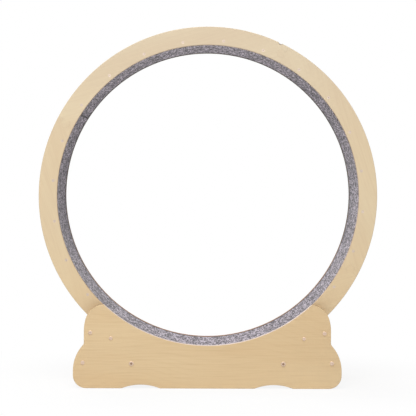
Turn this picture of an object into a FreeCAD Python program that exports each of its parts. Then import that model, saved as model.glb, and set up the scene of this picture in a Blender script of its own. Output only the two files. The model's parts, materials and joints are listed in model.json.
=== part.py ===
import FreeCAD, Part
import math
import os

import Sketcher
from FreeCAD import Placement, Rotation, Vector

# A free-standing exercise wheel for a cat: two ply rings joined by slats and lined with
# carpet, which turns on four rubber-tyred rollers between the two side panels of a low base.
# Millimetres. +Z is up, the front is -Y, and the origin is on the floor below the wheel.

doc = FreeCAD.newDocument("cat_wheel")

SIZES = [
    ("wheel_diameter", 910, "outside of the rings"),
    ("ring_width", 49, "rim to inner edge"),
    ("ring_thickness", 12, "ply of the rings"),
    ("wheel_width", 300, "over both rings"),
    ("ring_segments", 4, "pieces that make one ring"),
    ("slats_per_segment", 6, "slats screwed to one piece of ring"),
    ("first_slat_angle", 69.5, "degrees from +X towards +Z"),
    ("knob_radius", 11, "round knob that locks two ring pieces"),
    ("knob_reach", 9, "knob centre beyond the joint line"),
    ("joint_gap", 0.15, "saw line between two ring pieces"),
    ("edge_bevel", 1, "small bevel on the edges of the ply"),
    ("nick_angle", 64.9, "degrees, small nick in the front ring's rim"),
    ("nick_mouth", 11.7, "along the rim"),
    ("nick_floor", 7.2, "along the rim, at its bottom"),
    ("nick_depth", 2.5, "into the rim"),
    ("slat_gap", 8.5, "slat to slat, on the inside"),
    ("slat_thickness", 12, "ply of the slats"),
    ("tenon_shoulder", 20, "each side of the stub at a slat's end"),
    ("tenon_length", 5, "stub let into the ring"),
    ("tenon_clearance", 0.15, "all round the stub"),
    ("screw_head", 8, "wood screws of the rings"),
    ("screw_shank", 4, "wood screws of the rings"),
    ("screw_length", 32, "wood screws of the rings"),
    ("screw_recess", 0.4, "head below the ring's face"),
    ("pilot_spare", 1, "pilot hole beyond the screw's point"),
    ("carpet_thickness", 4.5, "felted carpet strip"),
    ("carpet_setback", 0.5, "carpet's face behind the ring's inner edge"),
    ("carpet_side_gap", 0.6, "each side of the strip"),
    ("carpet_seam_angle", 147.6, "degrees, where the strip's ends meet"),
    ("carpet_seam_gap", 0.8, "between the strip's ends"),
    ("carpet_seat_gap", 0.3, "carpet's back to the hook tape"),
    ("tape_thickness", 0.8, "hook tape on the slats"),
    ("tape_width", 25, "hook tape, along the slat"),
    ("tape_margin", 10, "hook tape's end to the slat's edge"),
    ("tape_edge_distance", 30, "tape centre from the ring"),
    ("roller_diameter", 75, "over the tyre"),
    ("roller_width", 24, "tyre and hub"),
    ("roller_core", 58, "hub under the tyre"),
    ("tyre_shoulder", 3, "rounded edges of the tyre"),
    ("hub_wall", 4, "rim and boss of the hub"),
    ("hub_web", 9, "disc between rim and boss"),
    ("hub_lip", 2.5, "stop behind each bearing"),
    ("hub_hole", 6, "round holes in the web"),
    ("hub_hole_count", 6, "round holes in the web"),
    ("running_gap", 0.3, "tyre to ring"),
    ("axle_inset", 156.5, "axle behind the foot"),
    ("axle_height", 66.3, "above the floor"),
    ("axle_diameter", 8, "steel rod"),
    ("bearing_outside", 22, "ball bearing"),
    ("bearing_width", 7, "ball bearing"),
    ("bearing_race", 1.8, "outer ring of the bearing"),
    ("shield_depth", 0.5, "bearing's shield behind its face"),
    ("spacer_outside", 12, "tube on the axle"),
    ("fit_clearance", 0.1, "pins, bores and end faces"),
    ("panel_thickness", 15, "ply of the base"),
    ("panel_gap", 10, "ring to side panel"),
    ("base_width", 720, "left foot to right foot"),
    ("foot_radius", 35, "lower corners of the panel"),
    ("hip_radius", 102, "curve above the foot"),
    ("hip_height", 47, "centre of the hip curve"),
    ("waist_inset", 29.1, "waist behind the foot"),
    ("waist_blend", 12, "hollow corner at the waist"),
    ("flank_radius", 110, "gentle curve from the waist up to the shoulder"),
    ("shoulder_radius", 55, "round top of the panel's horn"),
    ("shoulder_setback", 2.3, "shoulder's widest point behind the waist"),
    ("horn_height", 110.6, "horn's top above the front cradle's lowest point"),
    ("horn_tip_radius", 5, "point of the horn"),
    ("cradle_rise", 6, "front panel covers this much of the opening, lowest point"),
    ("rear_cradle_drop", 4, "rear panel clears the opening by this, lowest point"),
    ("cradle_ease", 0.8, "cradle radius beyond the ring's inner edge"),
    ("arch_inset", 182, "arch's centre behind the foot"),
    ("arch_width", 103, "arch under the panel"),
    ("arch_height", 10, "arch under the panel"),
    ("arch_blend", 10, "ends of the arch"),
    ("board_thickness", 15, "end boards"),
    ("board_lean", 14.1, "degrees from upright"),
    ("board_inset", 26.2, "lower bolt behind the foot"),
    ("board_bolt_low", 68.5, "above the floor"),
    ("board_bolt_high", 148.9, "above the floor"),
    ("board_margin", 14, "bolt to the board's edge"),
    ("bolt_head", 11, "connector bolts"),
    ("bolt_head_height", 2.2, "connector bolts"),
    ("bolt_shank", 6, "connector bolts"),
    ("bolt_past_nut", 1, "bolt's end beyond the cross nut"),
    ("bolt_hole_spare", 6, "hole beyond the bolt's end"),
    ("bolt_socket", 4, "hexagon key, across flats"),
    ("socket_depth", 2.6, "hexagon sockets"),
    ("head_chamfer", 0.8, "edges of the bolt heads"),
    ("barrel_diameter", 10, "cross nuts in the end boards"),
    ("barrel_length", 14, "cross nuts in the end boards"),
    ("barrel_depth", 40, "nut's axis from the board's end"),
    ("cap_nut_head", 13, "sleeve nuts on the axles"),
    ("cap_nut_sleeve", 10, "sleeve through the panel"),
    ("cap_nut_socket", 6, "hexagon key, across flats"),
    ("cap_nut_floor", 1, "closed end of the sleeve, behind the panel's face"),
    ("sleeve_setback", 1, "sleeve's open end behind the panel's inner face"),
    ("guide_diameter", 44, "nylon side guides"),
    ("guide_gap", 1, "guide to ring"),
    ("guide_offset", 5.5, "guide's centre outside the rim"),
    ("guide_inset", 54.8, "guide's centre behind the upper bolt"),
    ("guide_screw_head", 10, "screws of the guides"),
    ("guide_screw_shank", 5, "screws of the guides"),
    ("guide_screw_socket", 3, "hexagon key, across flats"),
    ("guide_screw_depth", 6.5, "screw into the guide"),
    ("guide_chamfer", 2, "edge of the guide beside the ring"),
]

size = doc.addObject("Spreadsheet::Sheet", "size")
for row, (alias, value, note) in enumerate(SIZES, start=1):
    size.set("A%d" % row, alias)
    size.set("B%d" % row, str(value))
    size.set("C%d" % row, note)
    size.setAlias("B%d" % row, alias)
doc.recompute()


def sized(formula):
    """A formula of plain aliases, written for the sheet."""
    words = sorted((alias for alias, _, _ in SIZES), key=len, reverse=True)
    for word in words:
        formula = formula.replace(word, "\0%d\0" % words.index(word))
    for index, word in enumerate(words):
        formula = formula.replace("\0%d\0" % index, "size." + word)
    return formula


def number(formula):
    result = size.evalExpression(sized(formula))
    return float(getattr(result, "Value", result))


# Places that several pieces share, each as a formula on the sheet.
AXLE_X = "(base_width / 2 - axle_inset)"
AXIS_HEIGHT = ("(axle_height + sqrt((wheel_diameter / 2 + roller_diameter / 2 + running_gap)^2"
               " - " + AXLE_X + "^2))")
RIM = "(wheel_diameter / 2)"
RING_OPENING = "(wheel_diameter / 2 - ring_width)"
RING_FACE = "(wheel_width / 2)"
RING_INSIDE = "(wheel_width / 2 - ring_thickness)"
PANEL_INSIDE = "(wheel_width / 2 + panel_gap)"
PANEL_OUTSIDE = "(wheel_width / 2 + panel_gap + panel_thickness)"
PITCH = "(360 / (ring_segments * slats_per_segment))"
CARPET_FACE = "(" + RING_OPENING + " + carpet_setback)"
CARPET_BACK = "(" + CARPET_FACE + " + carpet_thickness)"
TAPE_FACE = "(" + CARPET_BACK + " + carpet_seat_gap)"
SLAT_FACE = "(" + TAPE_FACE + " + tape_thickness)"
SLAT_MIDDLE = "(" + SLAT_FACE + " + slat_thickness / 2)"
SLAT_HALF = "(" + SLAT_FACE + " * tan(" + PITCH + " / 2) - slat_gap / 2)"
TENON_HALF = "(" + SLAT_HALF + " - tenon_shoulder)"
TAPE_HALF = "(" + SLAT_HALF + " - tape_margin)"
ROLLER_MIDDLE = "(wheel_width / 2 - ring_thickness / 2)"
WAIST = "(base_width / 2 - waist_inset)"
SHOULDER_TOP = "(" + AXIS_HEIGHT + " + cradle_rise - " + RING_OPENING + " + horn_height)"
BOARD_LOW_X = "(base_width / 2 - board_inset)"
BOARD_SHIFT = "((board_bolt_high - board_bolt_low) * tan(board_lean))"
BOARD_HIGH_X = "(base_width / 2 - board_inset - " + BOARD_SHIFT + ")"
GUIDE_X = "(" + BOARD_HIGH_X + " - guide_inset)"
GUIDE_Z = ("(" + AXIS_HEIGHT + " - sqrt((wheel_diameter / 2 + guide_offset)^2 - " + GUIDE_X
           + "^2))")
ARCH_X = "(base_width / 2 - arch_inset)"

# How far a cut runs on past the face that it opens.
OVERRUN = "1"


# ---------------------------------------------------------------- bodies and sketches

def new_body(label):
    body = doc.addObject("PartDesign::Body", label)
    body.Label = label
    return body


def origin_feature(body, role):
    return next(item for item in body.Origin.OriginFeatures if item.Role == role)


def new_sketch(body, role, name, shift=None):
    """A sketch on one of the body's own planes, moved along the plane's normal."""
    sketch = body.newObject("Sketcher::SketchObject", name)
    sketch.AttachmentSupport = [(origin_feature(body, role), "")]
    sketch.MapMode = "FlatFace"
    if shift is not None:
        sketch.setExpression("AttachmentOffset.Base.z", sized(shift))
    doc.recompute()
    return sketch


def bind(sketch, kind, places, formula):
    """A dimension of the sketch that follows the sheet."""
    index = sketch.addConstraint(Sketcher.Constraint(kind, *places, number(formula)))
    sketch.setExpression("Constraints[%d]" % index, sized(formula))


def draw_polygon(sketch, corners):
    """A closed outline of straight edges, each corner tied to the sheet."""
    points = [Vector(number(across), number(up), 0) for across, up in corners]
    count = len(points)
    first = len(sketch.Geometry)
    for index in range(count):
        edge = Part.LineSegment(points[index], points[(index + 1) % count])
        sketch.addGeometry(edge, False)
    for index in range(count):
        following = first + (index + 1) % count
        sketch.addConstraint(Sketcher.Constraint("Coincident", first + index, 2, following, 1))
    for index, (across, up) in enumerate(corners):
        bind(sketch, "DistanceX", (-1, 1, first + index, 1), across)
        bind(sketch, "DistanceY", (-1, 1, first + index, 1), up)


def draw_circle(sketch, across, up, radius):
    middle = Vector(number(across), number(up), 0)
    circle = Part.Circle(middle, Vector(0, 0, 1), number(radius))
    index = sketch.addGeometry(circle, False)
    bind(sketch, "Radius", (index,), radius)
    bind(sketch, "DistanceX", (-1, 1, index, 3), across)
    bind(sketch, "DistanceY", (-1, 1, index, 3), up)


def draw_axis(sketch, up):
    """A construction line along the sketch's first axis, to turn a profile about."""
    height = number(up)
    ends = (Vector(-10, height, 0), Vector(10, height, 0))
    index = sketch.addGeometry(Part.LineSegment(*ends), True)
    sketch.addConstraint(Sketcher.Constraint("Horizontal", index))
    bind(sketch, "DistanceY", (-1, 1, index, 1), up)


def pad(body, sketch, length, both_ways=False, backwards=False):
    feature = body.newObject("PartDesign::Pad", sketch.Name + "_pad")
    feature.Profile = sketch
    feature.setExpression("Length", sized(length))
    feature.SideType = "Symmetric" if both_ways else "One side"
    feature.Reversed = backwards
    doc.recompute()
    return feature


def pocket(body, sketch, depth=None, both_ways=False, backwards=False):
    before = body.Shape.Volume
    feature = body.newObject("PartDesign::Pocket", sketch.Name + "_pocket")
    feature.Profile = sketch
    feature.SideType = "Symmetric" if both_ways else "One side"
    if depth is None:
        feature.Type = "ThroughAll"
    else:
        feature.setExpression("Length", sized(depth))
    feature.Reversed = backwards
    doc.recompute()
    check_cut(body, before, sketch.Name)
    return feature


def check_cut(body, before, name):
    if body.Shape.Volume > before - 1e-6:
        raise RuntimeError("%s cuts nothing from %s" % (name, body.Label))


def turn(body, corners, up, name, kind="Revolution"):
    """A round piece, or a round cut: a half section in the YZ plane, turned about Y."""
    before = body.Shape.Volume if kind == "Groove" else 0
    sketch = new_sketch(body, "YZ_Plane", name)
    draw_polygon(sketch, corners)
    draw_axis(sketch, up)
    feature = body.newObject("PartDesign::" + kind, name + "_turn")
    feature.Profile = sketch
    feature.ReferenceAxis = (sketch, ["Axis0"])
    feature.Angle = 360
    doc.recompute()
    if kind == "Groove":
        check_cut(body, before, name)
    return feature


def mirror(body, role):
    """The whole body again on the other side of one of its planes."""
    feature = body.newObject("PartDesign::Mirrored", body.Label + "_mirror")
    feature.MirrorPlane = (origin_feature(body, role), [""])
    feature.TransformMode = "Whole shape"
    body.Tip = feature
    doc.recompute()
    return feature


def repeat_round(body, originals, count, angle="360"):
    """Copies about the body's Y axis, anticlockwise seen from the front."""
    feature = body.newObject("PartDesign::PolarPattern", body.Label + "_pattern")
    feature.Originals = originals
    feature.Axis = (origin_feature(body, "Y_Axis"), [""])
    feature.Reversed = True
    feature.setExpression("Angle", sized(angle))
    feature.setExpression("Occurrences", sized(count))
    body.Tip = feature
    doc.recompute()
    return feature


def place(body, across="0", along="0", up="0", spin=0.0):
    """Moves a body; spin turns it anticlockwise about Y, seen from the front."""
    body.Placement = Placement(Vector(0, 0, 0), Rotation(Vector(0, -1, 0), spin))
    body.setExpression("Placement.Base.x", sized(across))
    body.setExpression("Placement.Base.y", sized(along))
    body.setExpression("Placement.Base.z", sized(up))


def soften(body, chosen, width, name, flat=False):
    """Rounds the chosen edges of the body's last feature, or bevels them flat."""
    base = body.Tip
    edges = ["Edge%d" % (index + 1) for index, edge in enumerate(base.Shape.Edges) if chosen(edge)]
    if not edges:
        raise RuntimeError("%s found no edge on %s" % (name, body.Label))
    feature = body.newObject("PartDesign::Chamfer" if flat else "PartDesign::Fillet", name)
    feature.Base = (base, edges)
    feature.setExpression("Size" if flat else "Radius", sized(width))
    doc.recompute()
    return feature


def runs_along_y(edge):
    start, end = edge.firstVertex().Point, edge.lastVertex().Point
    return abs(start.x - end.x) < 1e-6 and abs(start.z - end.z) < 1e-6 and abs(start.y - end.y) > 1


def in_face(edge, along):
    """True where the edge lies in the plane at this depth."""
    box = edge.BoundBox
    return abs(box.YMin - along) < 1e-6 and abs(box.YMax - along) < 1e-6


# ---------------------------------------------------------------- the two rings

def draw_ring_piece(sketch):
    """One piece of a ring. It starts half a pitch before the slat at the top, with a round
    socket, and ends with the round knob that locks into the next piece."""
    outer, inner = number(RIM), number(RING_OPENING)
    middle = (outer + inner) / 2
    span = math.radians(number("360 / ring_segments"))
    start = math.radians(90 - number(PITCH + " / 2"))
    gap, reach = number("joint_gap"), number("knob_reach")

    def joint_line(angle, radius, beyond):
        """A point on the joint line at this angle, moved on round the ring."""
        outward = Vector(math.cos(angle), math.sin(angle), 0)
        onward = Vector(-math.sin(angle), math.cos(angle), 0)
        return outward * radius + onward * beyond

    def knob(angle, radius, beyond):
        """Where the knob's circle leaves the joint line, and the circle's far point."""
        half_neck = math.sqrt(radius ** 2 - (reach - beyond) ** 2)
        near = joint_line(angle, middle - half_neck, beyond)
        top = joint_line(angle, middle, reach + radius)
        far = joint_line(angle, middle + half_neck, beyond)
        return near, top, far

    def on_circle(angle, radius, beyond):
        """The joint line's end on the rim or on the inner edge."""
        return joint_line(angle, math.sqrt(radius ** 2 - beyond ** 2), beyond)

    socket = knob(start, number("knob_radius") + gap, gap)
    plug = knob(start + span, number("knob_radius"), 0)
    first_inner, first_outer = on_circle(start, inner, gap), on_circle(start, outer, gap)
    last_inner, last_outer = on_circle(start + span, inner, 0), on_circle(start + span, outer, 0)
    halfway = start + span / 2
    rim = Part.Arc(first_outer, joint_line(halfway, outer, 0), last_outer)
    inside = Part.Arc(first_inner, joint_line(halfway, inner, 0), last_inner)
    edges = [
        Part.LineSegment(first_inner, socket[0]),
        Part.Arc(*socket),
        Part.LineSegment(socket[2], first_outer),
        rim,
        Part.LineSegment(last_outer, plug[2]),
        Part.Arc(*plug),
        Part.LineSegment(plug[0], last_inner),
        inside,
    ]
    for edge in edges:
        sketch.addGeometry(edge, False)
    join_ends(sketch)
    bind(sketch, "Radius", (3,), RIM)
    bind(sketch, "Radius", (7,), RING_OPENING)


def join_ends(sketch):
    """Ties the ends of neighbouring edges together."""
    ends = []
    for index in range(len(sketch.Geometry)):
        for end in (1, 2):
            ends.append((index, end, sketch.getPoint(index, end)))
    for position, (index, end, point) in enumerate(ends):
        for other, other_end, other_point in ends[position + 1:]:
            if other != index and point.distanceToPoint(other_point) < 1e-6:
                sketch.addConstraint(Sketcher.Constraint("Coincident", index, end, other, other_end))


def make_ring_piece(label, side, turn_number):
    """side is -1 for the front ring and 1 for the rear one."""
    body = new_body(label)
    outline = new_sketch(body, "XZ_Plane", label + "_outline")
    draw_ring_piece(outline)
    pad(body, outline, "ring_thickness", backwards=side > 0)
    face = side * number("ring_thickness")
    ring_edges = (number(RIM), number(RING_OPENING))

    def outer_arc(edge):
        on_ring = any(abs(math.hypot(v.X, v.Z) - r) < 0.5 for r in ring_edges
                      for v in edge.Vertexes[:1])
        return in_face(edge, face) and on_ring and edge.Length > 100

    soften(body, outer_arc, "edge_bevel", label + "_bevel", flat=True)
    slot = new_sketch(body, "XZ_Plane", label + "_slot")
    half, low, high = (
        "(" + TENON_HALF + " + tenon_clearance)",
        SLAT_FACE + " - tenon_clearance",
        SLAT_FACE + " + slat_thickness + tenon_clearance",
    )
    draw_polygon(slot, [("-" + half, low), (half, low), (half, high), ("-" + half, high)])
    mortise = pocket(body, slot, "tenon_length + tenon_clearance", backwards=side < 0)
    sign = "" if side > 0 else "-"
    head = SLAT_MIDDLE + " + screw_head / 2 + tenon_clearance"
    shank = SLAT_MIDDLE + " + screw_shank / 2 + tenon_clearance"
    bottom = "ring_thickness - screw_recess - (screw_head - screw_shank) / 2"
    hole = turn(body, [
        (sign + "(ring_thickness + " + OVERRUN + ")", SLAT_MIDDLE),
        (sign + "(ring_thickness + " + OVERRUN + ")", head),
        (sign + "(ring_thickness - screw_recess)", head),
        (sign + "(" + bottom + ")", shank),
        (sign + "(tenon_length / 2)", shank),
        (sign + "(tenon_length / 2)", SLAT_MIDDLE),
    ], SLAT_MIDDLE, label + "_screw_hole", "Groove")
    span = PITCH + " * (slats_per_segment - 1)"
    repeat_round(body, [mortise, hole], "slats_per_segment", span)
    ring_side = RING_INSIDE if side > 0 else "-" + RING_INSIDE
    spin = number("first_slat_angle - 90 + %d * 360 / ring_segments" % turn_number)
    place(body, along=ring_side, up=AXIS_HEIGHT, spin=spin)
    return body


def nick_the_rim(body):
    """The small burnt nick in the front ring's rim."""
    rim = number(RIM)
    turned_back = number("90 - first_slat_angle")
    angle = math.radians(number("nick_angle") + turned_back)
    outward = Vector(math.cos(angle), math.sin(angle), 0)
    onward = Vector(-math.sin(angle), math.cos(angle), 0)
    mouth, floor, depth = number("nick_mouth / 2"), number("nick_floor / 2"), number("nick_depth")
    corners = [
        outward * (rim + depth) - onward * mouth,
        outward * (rim + depth) + onward * mouth,
        outward * (rim - depth) + onward * floor,
        outward * (rim - depth) - onward * floor,
    ]
    sketch = new_sketch(body, "XZ_Plane", "nick")
    for index, corner in enumerate(corners):
        edge = Part.LineSegment(corner, corners[(index + 1) % len(corners)])
        sketch.addGeometry(edge, False)
    join_ends(sketch)
    pocket(body, sketch, backwards=True)


# ---------------------------------------------------------------- slats, carpet, screws

def make_slat(label, position):
    """A flat ply slat with a stub tenon and a screw hole in each end."""
    body = new_body(label)
    outer = SLAT_FACE + " + slat_thickness"
    plank = new_sketch(body, "XZ_Plane", label + "_plank")
    draw_polygon(plank, [("-" + SLAT_HALF, SLAT_FACE), (SLAT_HALF, SLAT_FACE),
                         (SLAT_HALF, outer), ("-" + SLAT_HALF, outer)])
    pad(body, plank, "2 * " + RING_INSIDE, both_ways=True)
    soften(body, runs_along_y, "edge_bevel", label + "_bevel", flat=True)
    stub = new_sketch(body, "XZ_Plane", label + "_stub")
    draw_polygon(stub, [("-" + TENON_HALF, SLAT_FACE), (TENON_HALF, SLAT_FACE),
                        (TENON_HALF, outer), ("-" + TENON_HALF, outer)])
    pad(body, stub, "2 * (" + RING_INSIDE + " + tenon_length)", both_ways=True)
    end = RING_INSIDE + " + tenon_length"
    hole = new_sketch(body, "XZ_Plane", label + "_hole", shift=end)
    draw_circle(hole, "0", SLAT_MIDDLE, "screw_shank / 2 + tenon_clearance")
    depth = "screw_length + screw_recess + pilot_spare - ring_thickness + tenon_length"
    bored = pocket(body, hole, depth)
    both = body.newObject("PartDesign::Mirrored", label + "_both_ends")
    both.Originals = [bored]
    both.MirrorPlane = (origin_feature(body, "XZ_Plane"), [""])
    body.Tip = both
    spin = number("first_slat_angle - 90 + %d * %s" % (position, PITCH))
    place(body, up=AXIS_HEIGHT, spin=spin)
    return body


def make_carpet():
    """One strip laid round the inside of the slats, its ends meeting at the seam."""
    body = new_body("carpet_strip")
    sketch = new_sketch(body, "XZ_Plane", "carpet_outline")
    inner, outer = number(CARPET_FACE), number(CARPET_BACK)
    seam, half_gap = number("carpet_seam_angle"), number("carpet_seam_gap / 2")
    start = math.radians(seam) + half_gap / inner
    end = math.radians(seam + 360) - half_gap / inner
    for radius in (inner, outer):
        circle = Part.Circle(Vector(0, 0, 0), Vector(0, 0, 1), radius)
        sketch.addGeometry(Part.ArcOfCircle(circle, start, end), False)
    for angle in (start, end):
        way = Vector(math.cos(angle), math.sin(angle), 0)
        sketch.addGeometry(Part.LineSegment(way * inner, way * outer), False)
    join_ends(sketch)
    bind(sketch, "Radius", (0,), CARPET_FACE)
    bind(sketch, "Radius", (1,), CARPET_BACK)
    pad(body, sketch, "2 * (" + RING_INSIDE + " - carpet_side_gap)", both_ways=True)
    place(body, up=AXIS_HEIGHT)
    return body


def make_hook_tapes():
    """Two short strips of hook tape across every slat, which hold the carpet."""
    body = new_body("hook_tapes")
    body.AllowCompound = True
    edge = RING_INSIDE + " - tape_edge_distance + tape_width / 2"
    sketch = new_sketch(body, "XZ_Plane", "hook_tape_outline", shift=edge)
    draw_polygon(sketch, [("-" + TAPE_HALF, TAPE_FACE), (TAPE_HALF, TAPE_FACE),
                          (TAPE_HALF, SLAT_FACE), ("-" + TAPE_HALF, SLAT_FACE)])
    tape = pad(body, sketch, "tape_width", backwards=True)
    repeat_round(body, [tape], "ring_segments * slats_per_segment")
    mirror(body, "XZ_Plane")
    spin = number("first_slat_angle - 90")
    place(body, up=AXIS_HEIGHT, spin=spin)
    return body


def make_ring_screws(label, side):
    """One countersunk wood screw through the ring into the end of every slat."""
    body = new_body(label)
    body.AllowCompound = True
    sign = "" if side > 0 else "-"
    head = "(wheel_width / 2 - screw_recess)"
    neck = "(wheel_width / 2 - screw_recess - (screw_head - screw_shank) / 2)"
    point = "(wheel_width / 2 - screw_recess - screw_length)"
    shank_end = "(wheel_width / 2 - screw_recess - screw_length + screw_shank)"
    screw = turn(body, [
        (sign + head, SLAT_MIDDLE),
        (sign + head, SLAT_MIDDLE + " + screw_head / 2"),
        (sign + neck, SLAT_MIDDLE + " + screw_shank / 2"),
        (sign + shank_end, SLAT_MIDDLE + " + screw_shank / 2"),
        (sign + point, SLAT_MIDDLE),
    ], SLAT_MIDDLE, label + "_profile")
    repeat_round(body, [screw], "ring_segments * slats_per_segment")
    place(body, up=AXIS_HEIGHT, spin=number("first_slat_angle - 90"))
    return body


# ---------------------------------------------------------------- rollers

def place_roller(body, corner):
    x_side, y_side = corner
    place(body, across="%d * %s" % (x_side, AXLE_X), along="%d * %s" % (y_side, ROLLER_MIDDLE),
          up="axle_height")


def make_tyre(label, corner):
    body = new_body(label)
    edge, core, tread = "roller_width / 2", "roller_core / 2", "roller_diameter / 2"
    turn(body, [("-" + edge, core), (edge, core), (edge, tread), ("-" + edge, tread)], "0",
         label + "_profile")
    rim = number(tread)

    def shoulder(item):
        return item.isClosed() and abs(item.BoundBox.ZMax - rim) < 1e-3

    soften(body, shoulder, "tyre_shoulder", label + "_shoulders")
    place_roller(body, corner)


def make_hub(label, corner):
    """A moulded hub: rim, web with round holes, and a boss that takes two bearings."""
    body = new_body(label)
    edge, web = "roller_width / 2", "hub_web / 2"
    seat, boss = "bearing_outside / 2", "(bearing_outside / 2 + hub_wall)"
    rim, core = "(roller_core / 2 - hub_wall)", "roller_core / 2"
    step = "(roller_width / 2 - bearing_width)"
    bore = "(bearing_outside / 2 - hub_lip)"
    turn(body, [
        ("-" + edge, seat), ("-" + edge, boss), ("-" + web, boss), ("-" + web, rim),
        ("-" + edge, rim), ("-" + edge, core), (edge, core), (edge, rim),
        (web, rim), (web, boss), (edge, boss), (edge, seat),
        (step, seat), (step, bore), ("-" + step, bore), ("-" + step, seat),
    ], "0", label + "_profile")
    holes = new_sketch(body, "XZ_Plane", label + "_hole")
    middle = "(roller_core / 4 + bearing_outside / 4)"
    draw_circle(holes, "0", middle, "hub_hole / 2")
    cut = pocket(body, holes, "hub_web + 2 * " + OVERRUN, both_ways=True)
    repeat_round(body, [cut], "hub_hole_count")
    place_roller(body, corner)


def make_bearings(label, corner):
    """Two ball bearings, one in each face of the hub."""
    body = new_body(label)
    body.AllowCompound = True
    face, back = "(roller_width / 2)", "(roller_width / 2 - bearing_width)"
    shield = "(roller_width / 2 - shield_depth)"
    bore, ring = "(axle_diameter / 2 + fit_clearance)", "spacer_outside / 2"
    outer_ring, outside = "(bearing_outside / 2 - bearing_race)", "bearing_outside / 2"
    turn(body, [
        (back, bore), (face, bore), (face, ring), (shield, ring),
        (shield, outer_ring), (face, outer_ring), (face, outside), (back, outside),
    ], "0", label + "_profile")
    mirror(body, "XZ_Plane")
    place_roller(body, corner)


# ---------------------------------------------------------------- base

def draw_panel(sketch):
    """The panel before the cradle and the arches are cut: feet, hips, waist, flanks and
    shoulders. Flank and shoulder are two arcs that run smoothly into each other."""
    half, foot, hip = number("base_width / 2"), number("foot_radius"), number("hip_radius")
    hip_up, waist = number("hip_height"), number(WAIST)
    flank, shoulder = number("flank_radius"), number("shoulder_radius")
    setback, top = number("shoulder_setback"), number(SHOULDER_TOP)
    hip_end = math.acos((waist - half + hip) / hip)
    flank_end = math.acos((flank - shoulder - setback) / (flank - shoulder))
    flank_up = top - shoulder - (flank - shoulder) * math.sin(flank_end)
    shoulder_across = waist - setback - shoulder
    quarter = math.pi / 2

    def arc(across, up, radius, start, end):
        circle = Part.Circle(Vector(across, up, 0), Vector(0, 0, 1), radius)
        return sketch.addGeometry(Part.ArcOfCircle(circle, start, end), False)

    def line(start, end):
        sketch.addGeometry(Part.LineSegment(Vector(*start, 0), Vector(*end, 0)), False)

    rounded = []
    hip_top = hip_up + hip * math.sin(hip_end)
    for side in (1, -1):
        turned = 0 if side > 0 else quarter
        rounded.append((arc(side * (half - foot), foot, foot, -quarter - turned, -turned),
                        "foot_radius"))
        start, end = (0, hip_end) if side > 0 else (math.pi - hip_end, math.pi)
        rounded.append((arc(side * (half - hip), hip_up, hip, start, end), "hip_radius"))
        start, end = (0, flank_end) if side > 0 else (math.pi - flank_end, math.pi)
        rounded.append((arc(side * (waist - flank), flank_up, flank, start, end), "flank_radius"))
        start, end = (flank_end, quarter) if side > 0 else (quarter, math.pi - flank_end)
        rounded.append((arc(side * shoulder_across, top - shoulder, shoulder, start, end),
                        "shoulder_radius"))
        line((side * half, foot), (side * half, hip_up))
        line((side * waist, hip_top), (side * waist, flank_up))
    line((-(half - foot), 0), (half - foot, 0))
    line((-shoulder_across, top), (shoulder_across, top))
    join_ends(sketch)
    for index, radius in rounded:
        bind(sketch, "Radius", (index,), radius)
    return hip_top


def make_side_panel(label, side):
    """side is -1 for the front panel and 1 for the rear one, which is cut lower so that it
    stays out of sight behind the rear ring."""
    body = new_body(label)
    outline = new_sketch(body, "XZ_Plane", label + "_outline")
    hip_top = draw_panel(outline)
    pad(body, outline, "panel_thickness", backwards=side > 0)

    cradle = new_sketch(body, "XZ_Plane", label + "_cradle")
    lift = " - rear_cradle_drop" if side > 0 else " + cradle_rise"
    cradle_up = AXIS_HEIGHT + lift + " + cradle_ease"
    cradle_radius = RING_OPENING + " + cradle_ease"
    draw_circle(cradle, "0", cradle_up, cradle_radius)
    pocket(body, cradle, backwards=side < 0)

    arches = new_sketch(body, "XZ_Plane", label + "_arches")
    arch_radius = "((arch_width / 2)^2 + arch_height^2) / (2 * arch_height)"
    for across in (ARCH_X, "-" + ARCH_X):
        draw_circle(arches, across, "arch_height - " + arch_radius, arch_radius)
    pocket(body, arches, backwards=side < 0)

    centre, radius = number(cradle_up), number(cradle_radius)
    waist, arch = number(WAIST), number(ARCH_X)
    half_arch = number("arch_width / 2")

    def horn_tip(edge):
        point = edge.firstVertex().Point
        return runs_along_y(edge) and abs(math.hypot(point.x, point.z - centre) - radius) < 1e-4

    def waist_corner(edge):
        point = edge.firstVertex().Point
        return (runs_along_y(edge) and abs(abs(point.x) - waist) < 1e-4
                and abs(point.z - hip_top) < 1e-4)

    def arch_end(edge):
        point = edge.firstVertex().Point
        return (runs_along_y(edge) and abs(point.z) < 1e-4
                and abs(abs(abs(point.x) - arch) - half_arch) < 1e-3)

    soften(body, horn_tip, "horn_tip_radius", label + "_horn_tips")
    soften(body, waist_corner, "waist_blend", label + "_waist")
    soften(body, arch_end, "arch_blend", label + "_arch_ends")
    faces = (0.0, side * number("panel_thickness"))

    def outline_edge(edge):
        return any(in_face(edge, along) for along in faces)

    soften(body, outline_edge, "edge_bevel", label + "_bevel", flat=True)

    holes = new_sketch(body, "XZ_Plane", label + "_holes")
    bored = [
        (BOARD_LOW_X, "board_bolt_low", "bolt_shank / 2 + fit_clearance"),
        (BOARD_HIGH_X, "board_bolt_high", "bolt_shank / 2 + fit_clearance"),
        (AXLE_X, "axle_height", "cap_nut_sleeve / 2 + fit_clearance"),
        (GUIDE_X, GUIDE_Z, "guide_screw_shank / 2 + fit_clearance"),
    ]
    for across, up, radius in bored:
        for mirrored in ("", "-"):
            draw_circle(holes, mirrored + across, up, radius)
    pocket(body, holes, backwards=side < 0)
    place(body, along=PANEL_INSIDE if side > 0 else "-" + PANEL_INSIDE)
    return body


BOARD_BOLT_SPAN = "((board_bolt_high - board_bolt_low) / cos(board_lean))"


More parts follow.
